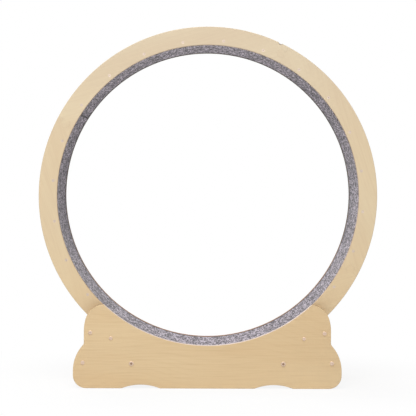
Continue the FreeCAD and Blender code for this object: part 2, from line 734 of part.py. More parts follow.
def place_on_board(body, x_side):
    """Moves a piece drawn in the end board's own frame to the left or the right end."""
    lean = Rotation(Vector(0, -1, 0), number("board_lean"))
    half_turn = Rotation(Vector(0, 0, 1), 0 if x_side > 0 else 180)
    body.Placement = Placement(Vector(0, 0, 0), half_turn * lean)
    body.setExpression("Placement.Base.x", sized("%d * %s" % (x_side, BOARD_LOW_X)))
    body.setExpression("Placement.Base.z", sized("board_bolt_low"))


def make_end_board(label, x_side):
    """A leaning ply board between the panels, bored for its bolts and cross nuts."""
    body = new_body(label)
    half = "board_thickness / 2"
    top = BOARD_BOLT_SPAN + " + board_margin"
    outline = new_sketch(body, "XZ_Plane", label + "_outline")
    draw_polygon(outline, [("-" + half, "-board_margin"), (half, "-board_margin"),
                           (half, top), ("-" + half, top)])
    pad(body, outline, "2 * " + PANEL_INSIDE, both_ways=True)
    soften(body, runs_along_y, "edge_bevel", label + "_bevel", flat=True)
    bolt_holes = new_sketch(body, "XZ_Plane", label + "_bolt_holes", shift=PANEL_INSIDE)
    cross_holes = new_sketch(body, "YZ_Plane", label + "_cross_holes", shift="-" + half)
    for up in ("0", BOARD_BOLT_SPAN):
        draw_circle(bolt_holes, "0", up, "bolt_shank / 2 + fit_clearance")
        draw_circle(cross_holes, "-(" + PANEL_INSIDE + " - barrel_depth)", up,
                    "barrel_diameter / 2 + fit_clearance")
    bored = pocket(body, bolt_holes,
                   "barrel_depth + barrel_diameter / 2 + bolt_past_nut + bolt_hole_spare")
    crossed = pocket(body, cross_holes, "board_thickness / 2 + barrel_length / 2", backwards=True)
    both = body.newObject("PartDesign::Mirrored", label + "_both_ends")
    both.Originals = [bored, crossed]
    both.MirrorPlane = (origin_feature(body, "XZ_Plane"), [""])
    body.Tip = both
    place_on_board(body, x_side)
    return body


def make_barrel_nuts():
    """Eight cross nuts, four in each end board."""
    ends = []
    for x_side, name in ((-1, "left_barrel_nuts"), (1, "right_barrel_nuts")):
        body = new_body(name)
        body.AllowCompound = True
        sketch = new_sketch(body, "YZ_Plane", name + "_outline")
        holes = new_sketch(body, "XZ_Plane", name + "_holes")
        for up in ("0", BOARD_BOLT_SPAN):
            draw_circle(sketch, "-(" + PANEL_INSIDE + " - barrel_depth)", up, "barrel_diameter / 2")
            draw_circle(holes, "0", up, "bolt_shank / 2 + fit_clearance")
        pad(body, sketch, "barrel_length", both_ways=True)
        pocket(body, holes, "2 * " + PANEL_OUTSIDE, both_ways=True)
        mirror(body, "XZ_Plane")
        place_on_board(body, x_side)
        ends.append(body)
    nuts = doc.addObject("Part::Compound", "barrel_nuts")
    nuts.Label = "barrel_nuts"
    nuts.Links = ends
    return nuts


def four_corners(body):
    mirror(body, "XZ_Plane")
    mirror(body, "YZ_Plane")


def turn_at(body, corners, across, up, name):
    """A round piece about an axis along Y through this place on the right of the base."""
    sketch = new_sketch(body, "YZ_Plane", name, shift=across)
    draw_polygon(sketch, [(along, up + " + " + radius) for along, radius in corners])
    draw_axis(sketch, up)
    feature = body.newObject("PartDesign::Revolution", name + "_turn")
    feature.Profile = sketch
    feature.ReferenceAxis = (sketch, ["Axis0"])
    feature.Angle = 360
    doc.recompute()
    return feature


def draw_hexagon(sketch, across, up, flats):
    corners = []
    for corner in range(6):
        turned = "(%d * 60)" % corner
        radius = "(" + flats + " / 2 / cos(30))"
        corners.append((across + " + " + radius + " * cos" + turned,
                        up + " + " + radius + " * sin" + turned))
    draw_polygon(sketch, corners)


def make_connector_bolts():
    """Eight flat-headed bolts through the panels into the cross nuts."""
    body = new_body("connector_bolts")
    body.AllowCompound = True
    face, head = "-" + PANEL_OUTSIDE, "-(" + PANEL_OUTSIDE + " + bolt_head_height)"
    tip = "-(" + PANEL_INSIDE + " - barrel_depth - barrel_diameter / 2 - bolt_past_nut)"
    places = ((BOARD_LOW_X, "board_bolt_low"), (BOARD_HIGH_X, "board_bolt_high"))
    for index, (across, up) in enumerate(places):
        turn_at(body, [
            (head, "0"), (head, "(bolt_head / 2 - head_chamfer)"),
            (head + " + head_chamfer", "bolt_head / 2"), (face, "bolt_head / 2"),
            (face, "bolt_shank / 2"), (tip, "bolt_shank / 2"), (tip, "0"),
        ], across, up, "bolt_%d" % index)
    sockets = new_sketch(body, "XZ_Plane", "bolt_sockets",
                         shift=PANEL_OUTSIDE + " + bolt_head_height")
    for across, up in places:
        draw_hexagon(sockets, across, up, "bolt_socket")
    pocket(body, sockets, "socket_depth")
    four_corners(body)
    place(body)
    return body


def make_cap_nuts():
    """Sleeve nuts on the four ends of the axles; each sleeve seats in the panel."""
    body = new_body("axle_cap_nuts")
    body.AllowCompound = True
    face, head = "-" + PANEL_OUTSIDE, "-(" + PANEL_OUTSIDE + " + bolt_head_height)"
    bore = "(axle_diameter / 2 + fit_clearance)"
    inner = "-(" + PANEL_INSIDE + " + sleeve_setback)"
    floor = "-(" + PANEL_OUTSIDE + " - cap_nut_floor)"
    turn_at(body, [
        (head, "0"), (head, "(cap_nut_head / 2 - head_chamfer)"),
        (head + " + head_chamfer", "cap_nut_head / 2"), (face, "cap_nut_head / 2"),
        (face, "cap_nut_sleeve / 2"), (inner, "cap_nut_sleeve / 2"), (inner, bore),
        (floor, bore), (floor, "0"),
    ], AXLE_X, "0", "cap_nut")
    socket = new_sketch(body, "XZ_Plane", "cap_nut_socket",
                        shift=PANEL_OUTSIDE + " + bolt_head_height")
    draw_hexagon(socket, AXLE_X, "0", "cap_nut_socket")
    pocket(body, socket, "socket_depth")
    four_corners(body)
    place(body, up="axle_height")
    return body


def make_axle(label, x_side):
    body = new_body(label)
    end, radius = "(" + PANEL_OUTSIDE + " - cap_nut_floor - fit_clearance)", "axle_diameter / 2"
    turn(body, [("-" + end, "0"), (end, "0"), (end, radius), ("-" + end, radius)], "0",
         label + "_profile")
    place(body, across="%d * %s" % (x_side, AXLE_X), up="axle_height")
    return body


def make_axle_spacers():
    """A long tube between the two rollers of each axle, a short one outside each roller."""
    body = new_body("axle_spacers")
    body.AllowCompound = True
    bore, outside = "(axle_diameter / 2 + fit_clearance)", "spacer_outside / 2"
    inner = "(" + ROLLER_MIDDLE + " - roller_width / 2 - fit_clearance)"
    outer = "(" + ROLLER_MIDDLE + " + roller_width / 2 + fit_clearance)"
    spans = (("long_tube", "-" + inner, inner), ("short_tube", "-" + PANEL_INSIDE, "-" + outer))
    for name, start, end in spans:
        turn_at(body, [(start, bore), (start, outside), (end, outside), (end, bore)],
                AXLE_X, "0", name)
    four_corners(body)
    place(body, up="axle_height")
    return body


def make_side_guides():
    """Four nylon discs inside the panels, which keep the wheel from drifting sideways."""
    body = new_body("side_guides")
    body.AllowCompound = True
    back, face = "-" + PANEL_INSIDE, "-(" + RING_FACE + " + guide_gap)"
    bore, edge = "(guide_screw_shank / 2 + fit_clearance)", "guide_diameter / 2"
    hole_end = "-(" + PANEL_INSIDE + " - guide_screw_depth - fit_clearance)"
    turn_at(body, [
        (back, bore), (back, edge), (face + " - guide_chamfer", edge),
        (face, "(guide_diameter / 2 - guide_chamfer)"), (face, "0"), (hole_end, "0"),
        (hole_end, bore),
    ], GUIDE_X, GUIDE_Z, "side_guide")
    four_corners(body)
    place(body)
    return body


def make_guide_screws():
    body = new_body("guide_screws")
    body.AllowCompound = True
    face, head = "-" + PANEL_OUTSIDE, "-(" + PANEL_OUTSIDE + " + bolt_head_height)"
    tip = "-(" + PANEL_INSIDE + " - guide_screw_depth)"
    shank = "guide_screw_shank / 2"
    turn_at(body, [
        (head, "0"), (head, "(guide_screw_head / 2 - head_chamfer)"),
        (head + " + head_chamfer", "guide_screw_head / 2"), (face, "guide_screw_head / 2"),
        (face, shank), (tip, shank), (tip, "0"),
    ], GUIDE_X, GUIDE_Z, "guide_screw")
    socket = new_sketch(body, "XZ_Plane", "guide_screw_socket",
                        shift=PANEL_OUTSIDE + " + bolt_head_height")
    draw_hexagon(socket, GUIDE_X, GUIDE_Z, "guide_screw_socket")
    pocket(body, socket, "socket_depth")
    four_corners(body)
    place(body)
    return body


# ---------------------------------------------------------------- the whole wheel

segments, slats_each = int(number("ring_segments")), int(number("slats_per_segment"))
for ring_name, ring_side in (("front", -1), ("rear", 1)):
    for index in range(segments):
        piece = make_ring_piece("%s_ring_%d" % (ring_name, index + 1), ring_side, index)
        if ring_side < 0 and index == 0:
            nick_the_rim(piece)
    make_ring_screws("ring_screws_" + ring_name, ring_side)
for index in range(segments * slats_each):
    make_slat("slat_%02d" % (index + 1), index)
make_carpet()
make_hook_tapes()

CORNERS = (("front_left", (-1, -1)), ("front_right", (1, -1)),
           ("rear_left", (-1, 1)), ("rear_right", (1, 1)))
for corner_name, corner in CORNERS:
    make_tyre("tyre_" + corner_name, corner)
    make_hub("hub_" + corner_name, corner)
    make_bearings("bearings_" + corner_name, corner)

make_side_panel("side_panel_front", -1)
make_side_panel("side_panel_rear", 1)
for end_name, end_side in (("left", -1), ("right", 1)):
    make_end_board("end_board_" + end_name, end_side)
    make_axle("axle_" + end_name, end_side)
make_axle_spacers()
make_cap_nuts()
make_connector_bolts()
barrel_nuts = make_barrel_nuts()
make_side_guides()
make_guide_screws()

doc.recompute()

for item in doc.Objects:
    if "Invalid" in item.State or "Error" in item.State:
        raise RuntimeError("%s did not build" % item.Label)

pieces = [item for item in doc.Objects if item.TypeId == "PartDesign::Body"
          and item not in barrel_nuts.Links]
pieces.append(barrel_nuts)
for piece in pieces:
    if piece.Shape.isNull() or not piece.Shape.isValid() or not piece.Shape.Solids:
        raise RuntimeError("%s is not a valid solid" % piece.Label)

os.makedirs("parts", exist_ok=True)
for piece in pieces:
    piece.Shape.exportStep("parts/" + piece.Label + ".step")
print("%d parts, wheel axis %.2f mm above the floor" % (len(pieces), number(AXIS_HEIGHT)))
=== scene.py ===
import json
import math
import random

import bmesh
import bpy
from mathutils import Matrix, Vector, noise


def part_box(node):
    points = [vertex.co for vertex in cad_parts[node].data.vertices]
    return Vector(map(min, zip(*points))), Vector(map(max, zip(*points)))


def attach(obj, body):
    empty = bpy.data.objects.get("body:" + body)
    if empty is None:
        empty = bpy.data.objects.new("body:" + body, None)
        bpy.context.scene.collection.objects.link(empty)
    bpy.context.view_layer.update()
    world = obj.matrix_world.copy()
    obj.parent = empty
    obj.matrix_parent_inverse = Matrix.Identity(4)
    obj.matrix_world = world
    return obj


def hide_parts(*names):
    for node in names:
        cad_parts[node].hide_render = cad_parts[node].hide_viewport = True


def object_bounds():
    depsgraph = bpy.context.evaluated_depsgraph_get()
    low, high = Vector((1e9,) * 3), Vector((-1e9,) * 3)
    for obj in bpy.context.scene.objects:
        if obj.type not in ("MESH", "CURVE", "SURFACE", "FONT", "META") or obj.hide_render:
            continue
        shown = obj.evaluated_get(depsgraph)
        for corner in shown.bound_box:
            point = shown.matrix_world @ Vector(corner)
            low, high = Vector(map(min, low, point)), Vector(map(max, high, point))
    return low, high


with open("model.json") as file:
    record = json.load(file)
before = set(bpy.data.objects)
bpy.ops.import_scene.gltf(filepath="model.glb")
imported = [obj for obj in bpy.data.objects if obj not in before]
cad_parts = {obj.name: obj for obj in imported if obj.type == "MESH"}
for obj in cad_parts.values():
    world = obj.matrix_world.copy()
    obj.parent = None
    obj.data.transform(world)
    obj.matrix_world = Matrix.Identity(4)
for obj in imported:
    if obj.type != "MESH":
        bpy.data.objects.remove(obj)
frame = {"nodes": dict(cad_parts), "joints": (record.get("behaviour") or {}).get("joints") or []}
nodes = frame["nodes"]
cad_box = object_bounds()


# ------------------------------------------------------------------ side panels
# The two side panels of the base are 15 mm ply with pale soft-wood faces, cut by laser, so
# every cut edge is toasted brown. They stand on their feet, and bolts hold them to the boards.

class Value:
    """A socket of a node tree. Sums on it add Math nodes to that tree."""

    def __init__(self, maker, socket):
        self.maker = maker
        self.socket = socket

    def work(self, operation, first, second):
        return self.maker.add("ShaderNodeMath", {"operation": operation}, {0: first, 1: second})

    def __add__(self, other):
        return self.work("ADD", self, other)

    def __radd__(self, other):
        return self.work("ADD", other, self)

    def __sub__(self, other):
        return self.work("SUBTRACT", self, other)

    def __rsub__(self, other):
        return self.work("SUBTRACT", other, self)

    def __mul__(self, other):
        return self.work("MULTIPLY", self, other)

    def __rmul__(self, other):
        return self.work("MULTIPLY", other, self)

    def __mod__(self, other):
        return self.work("FLOORED_MODULO", self, other)

    def __gt__(self, other):
        return self.work("GREATER_THAN", self, other)

    def __lt__(self, other):
        return self.work("LESS_THAN", self, other)

    def __abs__(self):
        return self.work("ABSOLUTE", self, 0)


class Maker:
    """Adds nodes to one tree, of a material or of the world."""

    def __init__(self, tree):
        self.tree = tree

    def feed(self, node, inputs):
        for name, value in inputs.items():
            if isinstance(value, Value):
                self.tree.links.new(value.socket, node.inputs[name])
            else:
                node.inputs[name].default_value = value

    def add(self, kind, settings=None, inputs=None, output=0):
        """Any node: its settings first, then its sockets. Returns one of its outputs."""
        node = self.tree.nodes.new(kind)
        for name, value in (settings or {}).items():
            setattr(node, name, value)
        self.feed(node, inputs or {})
        return Value(self, node.outputs[output])

    def dot(self, vector, direction):
        return self.add("ShaderNodeVectorMath", {"operation": "DOT_PRODUCT"},
                        {0: vector, 1: direction}, "Value")

    def point(self, x, y, z):
        return self.add("ShaderNodeCombineXYZ", {}, {0: x, 1: y, 2: z})

    def sine(self, value):
        return self.add("ShaderNodeMath", {"operation": "SINE"}, {0: value})

    def root(self, value):
        return self.add("ShaderNodeMath", {"operation": "SQRT"}, {0: value})

    def noise(self, vector, scale=1.0, detail=2.0, roughness=0.5):
        return self.add("ShaderNodeTexNoise", {}, {
            "Vector": vector, "Scale": scale, "Detail": detail, "Roughness": roughness,
            "Distortion": 0.0})

    def blend(self, first, second, share):
        return self.add("ShaderNodeMix", {"data_type": "RGBA"}, {0: share, 6: first, 7: second}, 2)

    def ramp(self, value, low, high):
        """0 at low, 1 at high, smooth between; low may be the larger."""
        return self.add("ShaderNodeMapRange", {"interpolation_type": "SMOOTHSTEP"},
                        {0: value, 1: low, 2: high, 3: 0.0, 4: 1.0})


class Finish(Maker):
    """A material of nodes that ends in one principled shader."""

    def __init__(self, name, **constants):
        self.material = bpy.data.materials.new(name)
        self.material.use_nodes = True
        super().__init__(self.material.node_tree)
        self.tree.nodes.clear()
        self.shader = self.tree.nodes.new("ShaderNodeBsdfPrincipled")
        self.output = self.tree.nodes.new("ShaderNodeOutputMaterial")
        self.feed(self.output, {0: Value(self, self.shader.outputs[0])})
        self.feed(self.shader, {word.replace("_", " "): value for word, value in constants.items()})

    def place(self):
        return self.add("ShaderNodeTexCoord", output="Object")

    def stain(self, colour, share):
        """Lays a colour over the base colour, by this share."""
        under = Value(self, self.shader.inputs["Base Color"].links[0].from_socket)
        self.feed(self.shader, {"Base Color": self.blend(under, colour, share)})

    def bump(self, height, distance, strength=1.0):
        normal = self.add("ShaderNodeBump", {}, {
            "Height": height, "Distance": distance, "Strength": strength})
        self.feed(self.shader, {"Normal": normal})


def rgb(red, green, blue):
    """A colour as a paint shop reads it, 0 to 255, for a node's socket."""
    def linear(part):
        part = part / 255
        return part / 12.92 if part <= 0.04045 else ((part + 0.055) / 1.055) ** 2.4

    return (linear(red), linear(green), linear(blue), 1.0)


def wear(node_name, finish):
    """Gives a piece of the frame its finish."""
    slots = nodes[node_name].data.materials
    slots.clear()
    slots.append(finish.material)


# Cut edges: the toasted wood, the charred plies and the glue lines.
BURNT = (rgb(150, 110, 80), rgb(94, 62, 46), rgb(68, 46, 36))
SCORCHED = (rgb(190, 150, 116), rgb(122, 86, 64), rgb(92, 64, 50))
SANDED = (rgb(214, 184, 158), rgb(176, 140, 112), rgb(140, 104, 82))

# Marks per metre, along the grain and across it.
CLOUDS, WANDER, STREAKS = (1.1, 7.0), (2.2, 5.0), (7.0, 240.0)
PORES, FIBRES = (45.0, 1500.0), (20.0, 700.0)
GROWTH_LINES, LINE_WANDER = 420.0, 95.0
SMOKE_MARKS = 60.0
GRAIN_DEPTH = 0.00035


def ply(name, grain, across, through, middle, thickness, plies, face, seed, cut=SCORCHED):
    """Plywood cut by laser: a pale face veneer with fine grain, and striped edges.
    grain, across and through are the board's own directions; middle is its mid plane."""
    finish = Finish(name, IOR=1.45)
    place = finish.place()
    facing = finish.add("ShaderNodeTexCoord", output="Normal")
    along = finish.dot(place, grain)
    side = finish.dot(place, across)
    depth = finish.dot(place, through)

    clouds = finish.noise(
        finish.point(along * CLOUDS[0] + seed, side * CLOUDS[1], seed), detail=3.0)
    wander = finish.noise(
        finish.point(along * WANDER[0] + seed, side * WANDER[1], 3.0 + seed), detail=1.0)
    streaks = finish.noise(
        finish.point(along * STREAKS[0], side * STREAKS[1] + seed, seed), 1.0, 3.0, 0.6)
    pores = finish.noise(finish.point(along * PORES[0], side * PORES[1], seed))
    fibres = finish.noise(finish.point(along * FIBRES[0], side * FIBRES[1], seed), 1.0, 3.0, 0.7)
    growth = finish.sine(side * GROWTH_LINES + wander * LINE_WANDER)

    pale, warm, dark = face
    veneer = finish.blend(pale, warm, finish.ramp(clouds, 0.32, 0.68))
    veneer = finish.blend(veneer, dark, finish.ramp(streaks, 0.45, 0.85) * 0.3)
    veneer = finish.blend(veneer, pale, finish.ramp(streaks, 0.5, 0.25) * 0.45)
    veneer = finish.blend(veneer, dark, finish.ramp(growth, 0.2, 1.0) * 0.05)
    veneer = finish.blend(veneer, dark, finish.ramp(pores, 0.62, 0.74) * 0.2)

    toast, char, glue = cut
    layer = (depth - (middle - thickness / 2)) * (plies / thickness)
    cross_ply = (layer % 2.0) > 1.0
    joint = finish.ramp(abs((layer % 1.0) - 0.5), 0.4, 0.47)
    smoke = finish.noise(place, SMOKE_MARKS, 3.0)
    edge = finish.blend(toast, char, finish.ramp(smoke, 0.3, 0.75) * 0.5 + cross_ply * 0.3)
    edge = finish.blend(edge, glue, joint * 0.6)
    on_edge = abs(finish.dot(facing, through)) < 0.5
    finish.feed(finish.shader, {
        "Base Color": finish.blend(veneer, edge, on_edge),
        "Roughness": 0.5 + fibres * 0.16 + on_edge * 0.15,
    })
    finish.bump(fibres * 0.6 + pores * -0.5 + on_edge * joint * -1.0, GRAIN_DEPTH, 0.6)
    return finish


X, Y, Z = Vector((1, 0, 0)), Vector((0, 1, 0)), Vector((0, 0, 1))
BASSWOOD = (rgb(227, 201, 159), rgb(219, 189, 145), rgb(189, 154, 110))
BASE_PLIES = 11
CRADLE_UP, CRADLE_RADIUS, CRADLE_SKIN = 0.0068, 0.4068, 0.0014
CRADLE_EDGE_HIGHLIGHT = rgb(240, 222, 211)
wheel_axis = Vector(frame["joints"][0]["pos_m"])


def off_axis(finish, x, z):
    """Distance from a line along Y through this place."""
    place = finish.place()
    across, up = finish.dot(place, X) - x, finish.dot(place, Z) - z
    return finish.root(across * across + up * up)


panel_finishes = []
for number, panel in enumerate(("side_panel_front", "side_panel_rear")):
    low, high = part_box(panel)
    panel_finishes.append(ply("ply_" + panel, X, Z, Y, (low.y + high.y) / 2, high.y - low.y,
                              BASE_PLIES, BASSWOOD, 4.7 * number, BURNT))
    wear(panel, panel_finishes[-1])

# The cradle's edge on the front panel, where the cat steps in, is painted near white: paler unburnt
# wood, with a painted highlight where light falls on this upward-facing edge.
front_ply = panel_finishes[0]
away = off_axis(front_ply, wheel_axis.x, wheel_axis.z + CRADLE_UP)
front_ply.stain(CRADLE_EDGE_HIGHLIGHT, front_ply.ramp(away, CRADLE_RADIUS + CRADLE_SKIN, CRADLE_RADIUS) * 0.9)


# ------------------------------------------------------------------ end boards
# Two leaning ply boards tie the side panels together at the left and the right. They are cut
# from the same sheet, their grain runs from front to back, and each takes four bolts.

for number, board in enumerate(("end_board_left", "end_board_right")):
    mesh = nodes[board].data
    outward = max(mesh.polygons, key=lambda face: face.area).normal.copy()
    outward.y = 0
    outward.normalize()
    upward = Vector((-outward.z, 0, outward.x))
    reach = [vertex.co.dot(outward) for vertex in mesh.vertices]
    wear(board, ply("ply_" + board, Y, upward, outward, (min(reach) + max(reach)) / 2,
                    max(reach) - min(reach), BASE_PLIES, BASSWOOD, 11.3 + number))


# ------------------------------------------------------------------ ring pieces
# Each ring is four flat pieces of 12 mm birch ply, locked by round jigsaw knobs. A piece is
# cut with its grain along its chord, so the grain turns a quarter from one to the next.

RING_PIECES = 4
WHEEL_PLIES = 9
BIRCH = (rgb(226, 207, 172), rgb(219, 196, 161), rgb(201, 173, 140))
UPPER_PAINTED_SHADE, UPPER_FROM, UPPER_TO = rgb(196, 186, 172), 0.55, 1.0
LOWER_PAINTED_LIGHT, LOWER_FROM, LOWER_TO = rgb(232, 198, 142), 0.5, 0.15
INNER_EDGE, INNER_SKIN = 0.407, 0.0008
BROWN_EDGE, BROWN_TO = rgb(158, 98, 62), 0.25
INNER_EDGE_SHADE, SHADE_FROM = rgb(48, 30, 28), 0.5
NICK_ANGLE, NICK_BURN, NICK_BROWN = math.radians(64.9), 0.0065, rgb(92, 62, 50)
rim_radius = cad_box[1].z - wheel_axis.z


def turned(angle):
    """Outward and onward at this angle round the wheel, from +X towards +Z."""
    outward = Vector((math.cos(angle), 0, math.sin(angle)))
    onward = Vector((-math.sin(angle), 0, math.cos(angle)))
    return outward, onward


def angle_of(node_name):
    """Where a piece of the wheel lies round the axis, from its middle."""
    points = [vertex.co for vertex in nodes[node_name].data.vertices]
    middle = sum(points, Vector()) / len(points) - wheel_axis
    return math.atan2(middle.z, middle.x)


nick = wheel_axis + turned(NICK_ANGLE)[0] * rim_radius
for ring, cut, seed in (("front", SANDED, 20.0), ("rear", SCORCHED, 30.0)):
    for number in range(RING_PIECES):
        piece = "%s_ring_%d" % (ring, number + 1)
        low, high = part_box(piece)
        outward, onward = turned(angle_of(piece))
        birch = ply("ply_" + piece, onward, outward, Y, (low.y + high.y) / 2, high.y - low.y,
                    WHEEL_PLIES, BIRCH, seed + number * 2.3, cut)
        # Painted light on both rings: greyer and darker toward the top as painted shade, warmer
        # toward the bottom as painted light.
        up = birch.dot(birch.place(), Z)
        birch.stain(UPPER_PAINTED_SHADE, birch.ramp(up, UPPER_FROM, UPPER_TO) * 0.3)
        birch.stain(LOWER_PAINTED_LIGHT, birch.ramp(up, LOWER_FROM, LOWER_TO) * 0.3)
        if ring == "rear":
            # The rear ring's inner cut edge: burnt brown in the lower half, and near black in the
            # upper half, where the edge faces down, which is painted shade.
            away = off_axis(birch, wheel_axis.x, wheel_axis.z)
            char = birch.blend(BROWN_EDGE, INNER_EDGE_SHADE, birch.ramp(up, BROWN_TO, SHADE_FROM))
            birch.stain(char, birch.ramp(away, INNER_EDGE, INNER_EDGE - INNER_SKIN) * 0.9)
        elif number == 0:
            away = off_axis(birch, nick.x, nick.z)
            birch.stain(NICK_BROWN, birch.ramp(away, NICK_BURN, NICK_BURN * 0.6) * 0.7)
        wear(piece, birch)


# ------------------------------------------------------------------ slats
# Twenty-four flat birch ply slats join the two rings. Each is let into both rings by a stub
# tenon and held by a screw at each end; the grain runs along the slat.

slat_places = []
for number, slat in enumerate(sorted(name for name in nodes if name.startswith("slat_"))):
    outward, onward = turned(angle_of(slat))
    reach = [(vertex.co - wheel_axis).dot(outward) for vertex in nodes[slat].data.vertices]
    radius = (min(reach) + max(reach)) / 2
    slat_places.append((outward, radius))
    wear(slat, ply("ply_" + slat, Y, onward, outward, radius + wheel_axis.dot(outward),
                   max(reach) - min(reach), WHEEL_PLIES, BIRCH, 40 + number * 1.7))


# ------------------------------------------------------------------ ring screws
# A countersunk cross-head wood screw runs through each ring into the end of every slat. They
# are zinc-plated steel, 8 mm across the head and 32 mm long, and sit just below the ply's face.

HEAD_RADIUS, HEAD_EDGE, HEAD_DEPTH = 0.004, 0.0003, 0.0023
SHANK_RADIUS, SHANK_LENGTH = 0.002, 0.008
CORE_RADIUS, THREAD_PITCH, THREAD_CREST, THREAD_ROOT = 0.0015, 0.0018, 0.45, 0.9
TIP_RADIUS, TIP_LENGTH, THREAD_TO_TIP = 0.0002, 0.004, 0.005
SCREW_LENGTH, SCREW_RECESS, SCREW_STEPS = 0.032, 0.0004, 24
CROSS_REACH, CROSS_HALF_WIDTH, CROSS_DEPTH = 0.0024, 0.00055, 0.0016
CROSS_TAPER = (0.55, 0.8)


def mesh_piece(name, vertices, faces, body, finish, crease=35.0):
    """A mesh of its own, smooth but for its sharp corners, that rides on a body."""
    mesh = bpy.data.meshes.new(name)
    mesh.from_pydata([tuple(vertex) for vertex in vertices], [], faces)
    mesh.validate()
    mesh.polygons.foreach_set("use_smooth", [True] * len(mesh.polygons))
    mesh.set_sharp_from_angle(angle=math.radians(crease))
    mesh.materials.append(finish.material)
    piece = bpy.data.objects.new(name, mesh)
    bpy.context.scene.collection.objects.link(piece)
    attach(piece, body)
    return piece


def metal(name, colour, tint, roughness, grit=900.0):
    """Plated or bare steel: a faint cloudy tint, fine tool marks and some handling wear."""
    finish = Finish(name, Metallic=1.0)
    place = finish.place()
    cloud = finish.noise(place, 140.0, 3.0)
    marks = finish.noise(place, grit, 3.0, 0.65)
    finish.feed(finish.shader, {
        "Base Color": finish.blend(colour, tint, finish.ramp(cloud, 0.3, 0.7)),
        "Roughness": roughness + marks * 0.2,
    })
    finish.bump(marks, 0.00004, 0.5)
    return finish


def screw_profile():
    """The screw's half section below the head's face: radius and height, down to its point."""
    outline = [(HEAD_RADIUS, -HEAD_EDGE), (SHANK_RADIUS, -HEAD_DEPTH)]
    depth = HEAD_DEPTH + SHANK_LENGTH
    while depth < SCREW_LENGTH - THREAD_TO_TIP:
        outline += [(CORE_RADIUS, -depth), (SHANK_RADIUS, -depth - THREAD_PITCH * THREAD_CREST),
                    (CORE_RADIUS, -depth - THREAD_PITCH * THREAD_ROOT)]
        depth += THREAD_PITCH
    return outline + [(CORE_RADIUS, TIP_LENGTH - SCREW_LENGTH), (TIP_RADIUS, -SCREW_LENGTH)]


def screw_ring(work, radius, height):
    turns = [2 * math.pi * step / SCREW_STEPS for step in range(SCREW_STEPS)]
    return [work.verts.new((radius * math.cos(turn), radius * math.sin(turn), height))
            for turn in turns]


def screw_mesh():
    """Points and faces of one screw along Z, its head's face at zero, with a cross recess."""
    half, arm = CROSS_HALF_WIDTH, CROSS_REACH
    corners = [Matrix.Rotation(quarter * math.pi / 2, 2) @ Vector(corner)
               for quarter in range(4) for corner in ((half, half), (arm, half), (arm, -half))]
    corners.sort(key=lambda corner: math.atan2(corner.y, corner.x))
    work = bmesh.new()
    rim = screw_ring(work, HEAD_RADIUS, 0)
    mouth = [work.verts.new((corner.x, corner.y, 0)) for corner in corners]
    floor = [work.verts.new((corner.x * CROSS_TAPER[0], corner.y * CROSS_TAPER[1], -CROSS_DEPTH))
             for corner in corners]
    for loop in (rim, mouth):
        for index, vertex in enumerate(loop):
            work.edges.new((vertex, loop[(index + 1) % len(loop)]))
    bmesh.ops.triangle_fill(work, use_beauty=True, edges=work.edges[:], normal=(0, 0, 1))
    for index in range(len(mouth)):
        after = (index + 1) % len(mouth)
        work.faces.new((mouth[index], mouth[after], floor[after], floor[index]))
    work.faces.new(floor)
    above = rim
    for radius, height in screw_profile():
        below = screw_ring(work, radius, height)
        for step in range(SCREW_STEPS):
            after = (step + 1) % SCREW_STEPS
            work.faces.new((above[step], below[step], below[after], above[after]))
        above = below
    work.faces.new(above)
    bmesh.ops.recalc_face_normals(work, faces=work.faces[:])
    work.verts.index_update()
    points = [vertex.co.copy() for vertex in work.verts]
    outlines = [[vertex.index for vertex in face.verts] for face in work.faces]
    work.free()
    return points, outlines


zinc = metal("zinc_plating", rgb(221, 204, 188), rgb(207, 191, 177), 0.38)
screw_points, screw_faces = screw_mesh()
for ring, side in (("front", -1), ("rear", 1)):
    low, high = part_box(ring + "_ring_1")
    head_face = (low.y if side < 0 else high.y) - side * SCREW_RECESS
    lay = Matrix.Rotation(math.radians(-90 * side), 4, "X")
    twist = random.Random(7 + side)
    vertices, faces = [], []
    for outward, radius in slat_places:
        centre = wheel_axis + outward * radius
        centre.y = head_face
        turn = Matrix.Rotation(twist.uniform(0, math.pi), 4, "Z")
        first = len(vertices)
        vertices += [centre + (lay @ turn @ point) for point in screw_points]
        faces += [[first + index for index in outline] for outline in screw_faces]
    screws = mesh_piece("wood_screws_" + ring, vertices, faces, "wheel", zinc)
    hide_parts("ring_screws_" + ring)


# ------------------------------------------------------------------ hook tapes
# Two short strips of black hook tape are stuck on the inside of every slat. Their hooks grip
# the carpet's back, so that the carpet can be peeled off and washed.

HOOKS_PER_METRE, HOOK_DEPTH = 700.0, 0.0008

hooks = Finish("hook_tape", Roughness=0.8)
rows = hooks.add("ShaderNodeTexVoronoi", {"feature": "F1"},
                 {"Vector": hooks.place(), "Scale": HOOKS_PER_METRE})
hooks.feed(hooks.shader, {
    "Base Color": hooks.blend(rgb(62, 62, 66), rgb(30, 30, 33), hooks.ramp(rows, 0.2, 0.6))})
hooks.bump(hooks.ramp(rows, 0.6, 0.1), HOOK_DEPTH)
wear("hook_tapes", hooks)


# ------------------------------------------------------------------ carpet
# One strip of grey felted carpet lines the inside of the slats, laid with its two ends meeting
# at a seam. Its looped face is flecked light and dark and uneven, and its back is flat.

CARPET_STEP = 0.0045
SEAM_ANGLE, SEAM_HALF_GAP = math.radians(147.6), 0.0004
PILE_HEIGHT, TUFTS_PER_METRE, DIPS_PER_METRE = 0.0005, 260.0, 90.0
LOOPS_PER_METRE, LOOP_DEPTH = 330.0, 0.0012
FLECK_STRETCH = (1.0, 0.27, 1.0)
GREY_DARK, GREY_PALE = rgb(54, 46, 56), rgb(212, 201, 214)
SPECK_DARK, SPECK_PALE = rgb(33, 26, 36), rgb(232, 222, 233)
PATCH_GREY, GRAIN_GREY = rgb(54, 45, 56), rgb(124, 115, 127)
SEAM_GREY, SHADED_EDGE, SIDE_SHADE_GREY = rgb(30, 20, 36), rgb(38, 29, 36), rgb(52, 44, 52)

